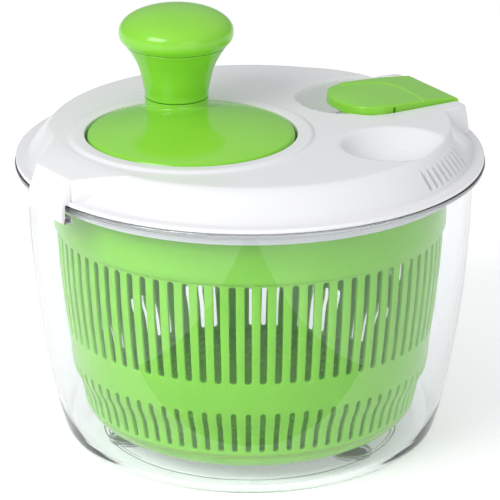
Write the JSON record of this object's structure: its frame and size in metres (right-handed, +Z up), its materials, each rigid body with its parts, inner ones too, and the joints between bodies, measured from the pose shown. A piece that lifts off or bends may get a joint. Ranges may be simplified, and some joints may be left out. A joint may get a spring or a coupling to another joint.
{
  "type": "salad spinner",
  "caption": "Hand-driven salad spinner: clear round bowl, slotted green basket, white latching lid with a geared turning disc and a mushroom knob.",
  "frame": {"origin": "on the table under the middle of the bowl", "axes": "+Z up, +X towards the green latch, -X towards the fixed hook"},
  "size_m": [0.256, 0.25, 0.2335],
  "materials": {
    "clear_bowl": "clear moulded styrene plastic, polished",
    "green_basket": "moulded, soft gloss",
    "green_gloss": "moulded, polished",
    "white_lid": "moulded, satin",
    "natural_plastic": "natural acetal",
    "foot_rubber": "matt grey rubber",
    "screw_steel": "plated"
  },
  "bodies": {
    "root": {"bowl": "clear_bowl", "foot_pad_1": "foot_rubber", "foot_pad_2": "foot_rubber", "foot_pad_3": "foot_rubber"},
    "basket": {"basket": "green_basket", "basket_bearing": "natural_plastic"},
    "lid": {"lid_shell": "white_lid", "inner_cover": "white_lid", "cover_screws": "screw_steel", "turntable_bush": "natural_plastic", "pinion_bush": "natural_plastic", "latch_pin": "screw_steel", "latch_spring": "screw_steel"},
    "turntable": {"turntable": "green_gloss", "ring_gear": "natural_plastic", "ring_gear_screws": "screw_steel", "turntable_washer": "screw_steel", "turntable_screw": "screw_steel", "knob_axle": "screw_steel", "knob_washer": "screw_steel", "knob_screw": "screw_steel"},
    "knob": {"knob_stem": "green_gloss", "knob_cap": "green_gloss", "knob_bush": "natural_plastic"},
    "driver": {"drive_pinion": "natural_plastic", "driver_plate": "white_lid", "driver_screw": "screw_steel"},
    "latch": {"latch_lever": "green_gloss"}
  },
  "joints": [
    {"name": "lid_tilt", "type": "hinge", "parent": "root", "child": "lid", "pos_m": [-0.12576, -0.00769, 0.154], "axis": [0.061, -0.9981, 0], "range_deg": [0, 30]},
    {"name": "turntable_spin", "type": "hinge", "parent": "lid", "child": "turntable", "pos_m": [-0.036, 0, 0.166], "axis": [0, 0, 1], "continuous": true},
    {"name": "knob_spin", "type": "hinge", "parent": "turntable", "child": "knob", "pos_m": [-0.02457, 0.03519, 0.2], "axis": [0, 0, 1], "continuous": true},
    {"name": "driver_spin", "type": "hinge", "parent": "lid", "child": "driver", "pos_m": [0, 0, 0.166], "axis": [0, 0, 1], "continuous": true},
    {"name": "basket_spin", "type": "hinge", "parent": "root", "child": "basket", "pos_m": [0, 0, 0.009], "axis": [0, 0, 1], "continuous": true},
    {"name": "latch_press", "type": "hinge", "parent": "lid", "child": "latch", "pos_m": [0.1135, 0, 0.1685], "axis": [0, -1, 0], "range_deg": [0, 8], "stiffness_Nm_per_rad": 0.3, "springref_deg": -6.88, "deforming": ["latch_spring"]}
  ],
  "couplings": [
    {"joint": "driver_spin", "follows": "turntable_spin", "ratio": 4},
    {"joint": "basket_spin", "follows": "turntable_spin", "ratio": 4}
  ]
}
